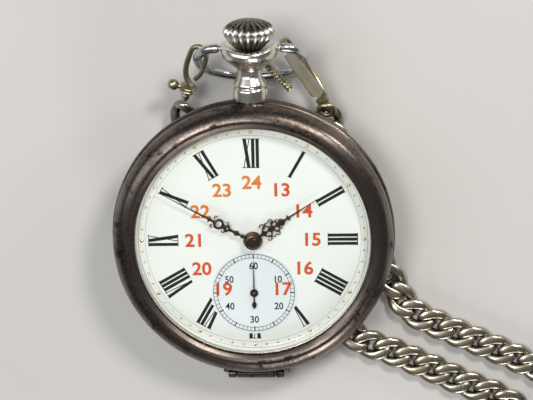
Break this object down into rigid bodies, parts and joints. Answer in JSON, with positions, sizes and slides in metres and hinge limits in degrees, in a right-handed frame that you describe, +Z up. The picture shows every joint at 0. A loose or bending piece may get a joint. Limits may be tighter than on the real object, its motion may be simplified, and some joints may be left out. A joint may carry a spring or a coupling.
{
  "type": "pocket watch",
  "caption": "Open-face pocket watch with a fluted crown, small seconds dial and a curb chain, lying on its back with the bow folded behind it as a foot.",
  "frame": {"origin": "on the table, under the middle of the watch without its chain and clasps", "axes": "+Z up from the table, +Y along the table towards 12 o'clock and the crown, +X towards 3 o'clock"},
  "size_m": [0.1017, 0.0929, 0.0202],
  "materials": {
    "case_silver": "worn, tarnished silver with dark patina",
    "cover_silver": "lightly toned silver",
    "bright_silver": "polished silver, worn bright",
    "nickel": "aged nickel with dark recesses",
    "crystal_glass": "clear domed glass",
    "enamel": "glossy white enamel, printed numerals",
    "rose_bronze": "rose bronze hands",
    "gilt": "matt gilt plates",
    "brass": "grained brass wheels",
    "steel": "polished steel",
    "blued_steel": "heat-blued steel"
  },
  "bodies": {
    "case": {"case_middle": "case_silver", "bezel_hinge_pin": "nickel", "back_hinge_pin": "nickel", "dial": "enamel", "main_plate": "gilt", "barrel_bridge": "gilt", "train_bridge": "gilt", "balance_cock": "gilt", "barrel_bridge_screw_1": "blued_steel", "barrel_bridge_screw_2": "blued_steel", "train_bridge_screw_1": "blued_steel", "train_bridge_screw_2": "blued_steel", "balance_cock_screw": "blued_steel", "regulator": "steel", "mainspring": "blued_steel", "chain": "nickel"},
    "bezel": {"bezel": "case_silver", "crystal": "crystal_glass"},
    "back_cover": {"back_cover": "case_silver"},
    "inner_cover": {"inner_cover": "cover_silver"},
    "bow": {"bow": "bright_silver", "clasp_right_hook": "nickel", "clasp_left_hook": "nickel", "clasp_left_swivel": "nickel", "clasp_left_knob": "nickel", "toggle_bar": "nickel"},
    "clasp_right_lever": {"clasp_right_lever": "nickel"},
    "stem_sleeve": {"pendant_sleeve": "steel"},
    "crown": {"crown": "bright_silver", "winding_stem": "steel"},
    "winding_pinion": {"winding_pinion": "steel"},
    "sliding_pinion": {"sliding_pinion": "steel"},
    "crown_wheel": {"crown_wheel": "steel", "crown_wheel_screw": "blued_steel"},
    "ratchet": {"ratchet_wheel": "steel", "ratchet_screw": "blued_steel", "barrel_arbor": "steel"},
    "click": {"click": "steel"},
    "minute_hand": {"minute_hand": "rose_bronze", "hand_boss": "rose_bronze", "cannon_pinion": "steel"},
    "minute_wheel": {"minute_wheel": "brass", "minute_pinion": "steel"},
    "hour_hand": {"hour_wheel": "brass", "hour_hand": "rose_bronze"},
    "fourth_wheel": {"fourth_wheel": "brass", "fourth_arbor": "steel", "seconds_hand": "rose_bronze"},
    "third_wheel": {"third_wheel": "brass", "third_arbor": "steel"},
    "centre_wheel": {"centre_wheel": "brass", "centre_arbor": "steel"},
    "escape_wheel": {"escape_wheel": "steel", "escape_arbor": "steel"},
    "barrel": {"barrel": "brass"},
    "pallet_fork": {"pallet_fork": "steel"},
    "balance": {"balance_wheel": "brass", "balance_staff": "steel", "hairspring": "blued_steel"}
  },
  "joints": [
    {"name": "bezel_open", "type": "hinge", "parent": "case", "child": "bezel", "pos_m": [0, -0.03327, 0.00518], "axis": [1, 0, 0], "range_deg": [0, 115]},
    {"name": "back_open", "type": "hinge", "parent": "case", "child": "back_cover", "pos_m": [0, -0.03277, 0.00248], "axis": [-1, 0, 0], "range_deg": [0, 110]},
    {"name": "inner_cover_open", "type": "hinge", "parent": "case", "child": "inner_cover", "pos_m": [0, -0.03277, 0.00248], "axis": [-1, 0, 0], "range_deg": [0, 88]},
    {"name": "bow_swing", "type": "hinge", "parent": "case", "child": "bow", "pos_m": [0, 0.02768, 0.01489], "axis": [1, 0, 0], "range_deg": [0, 265], "deforming": ["chain"]},
    {"name": "clasp_lever_open", "type": "hinge", "parent": "bow", "child": "clasp_right_lever", "pos_m": [0.0123, 0.01836, 0.00753], "axis": [0.8576, 0.5058, 0.0932], "range_deg": [0, 12], "stiffness_Nm_per_rad": 0.005, "springref_deg": -5.73},
    {"name": "crown_pull", "type": "slide", "parent": "case", "child": "stem_sleeve", "axis": [0, 0.9834, 0.1812], "range_m": [0, 0.0008]},
    {"name": "crown_turn", "type": "hinge", "parent": "stem_sleeve", "child": "crown", "pos_m": [0, 0.02847, 0.01503], "axis": [0, 0.9834, 0.1812], "continuous": true},
    {"name": "winding_pinion_turn", "type": "hinge", "parent": "case", "child": "winding_pinion", "pos_m": [0, 0.00978, 0.01159], "axis": [0, 0.9834, 0.1812], "continuous": true},
    {"name": "sliding_pinion_turn", "type": "hinge", "parent": "case", "child": "sliding_pinion", "pos_m": [0, 0.00781, 0.01123], "axis": [0, 0.9834, 0.1812], "continuous": true},
    {"name": "crown_wheel_turn", "type": "hinge", "parent": "case", "child": "crown_wheel", "pos_m": [0, 0.00844, 0.00895], "axis": [0, -0.1812, 0.9834], "continuous": true},
    {"name": "ratchet_turn", "type": "hinge", "parent": "case", "child": "ratchet", "pos_m": [0.00579, 0.00026, 0.00745], "axis": [0, -0.1812, 0.9834], "continuous": true},
    {"name": "click_lift", "type": "hinge", "parent": "case", "child": "click", "pos_m": [-0.0009, 0.00289, 0.00707], "axis": [0, 0.1812, -0.9834], "range_deg": [0, 8], "stiffness_Nm_per_rad": 0.001},
    {"name": "minute_hand_turn", "type": "hinge", "parent": "case", "child": "minute_hand", "pos_m": [0, -0.00763, 0.01225], "axis": [0, -0.1812, 0.9834], "continuous": true},
    {"name": "minute_wheel_turn", "type": "hinge", "parent": "case", "child": "minute_wheel", "pos_m": [-0.0045, -0.00457, 0.01001], "axis": [0, -0.1812, 0.9834], "continuous": true},
    {"name": "hour_hand_turn", "type": "hinge", "parent": "case", "child": "hour_hand", "pos_m": [0, -0.00753, 0.01171], "axis": [0, -0.1812, 0.9834], "continuous": true},
    {"name": "seconds_turn", "type": "hinge", "parent": "case", "child": "fourth_wheel", "pos_m": [0, -0.01704, 0.00705], "axis": [0, -0.1812, 0.9834], "continuous": true},
    {"name": "third_wheel_turn", "type": "hinge", "parent": "case", "child": "third_wheel", "pos_m": [0.00399, -0.0123, 0.00691], "axis": [0, -0.1812, 0.9834], "continuous": true},
    {"name": "centre_wheel_turn", "type": "hinge", "parent": "case", "child": "centre_wheel", "pos_m": [0, -0.00683, 0.00792], "axis": [0, -0.1812, 0.9834], "continuous": true},
    {"name": "escape_wheel_turn", "type": "hinge", "parent": "case", "child": "escape_wheel", "pos_m": [-0.00496, -0.01867, 0.00594], "axis": [0, -0.1812, 0.9834], "continuous": true},
    {"name": "barrel_turn", "type": "hinge", "parent": "case", "child": "barrel", "pos_m": [0.00579, 0.00005, 0.00863], "axis": [0, -0.1812, 0.9834], "continuous": true},
    {"name": "pallet_rock", "type": "hinge", "parent": "case", "child": "pallet_fork", "pos_m": [-0.00782, -0.01704, 0.00624], "axis": [0, -0.1812, 0.9834], "range_deg": [-4, 4]},
    {"name": "balance_swing", "type": "hinge", "parent": "case", "child": "balance", "pos_m": [-0.011, -0.01081, 0.00632], "axis": [0, -0.1812, 0.9834], "range_deg": [-220, 220], "stiffness_Nm_per_rad": 0.0000012}
  ],
  "couplings": [
    {"joint": "inner_cover_open", "follows": "back_open", "ratio": 0.8},
    {"joint": "winding_pinion_turn", "follows": "crown_turn", "ratio": 1},
    {"joint": "sliding_pinion_turn", "follows": "crown_turn", "ratio": 1},
    {"joint": "crown_wheel_turn", "follows": "crown_turn", "ratio": 0.6},
    {"joint": "ratchet_turn", "follows": "crown_turn", "ratio": -0.36},
    {"joint": "minute_wheel_turn", "follows": "minute_hand_turn", "ratio": -0.33333},
    {"joint": "hour_hand_turn", "follows": "minute_hand_turn", "ratio": 0.083333},
    {"joint": "third_wheel_turn", "follows": "seconds_turn", "ratio": -0.13333},
    {"joint": "centre_wheel_turn", "follows": "seconds_turn", "ratio": 0.016667},
    {"joint": "escape_wheel_turn", "follows": "seconds_turn", "ratio": -8},
    {"joint": "barrel_turn", "follows": "seconds_turn", "ratio": -0.0020833}
  ]
}
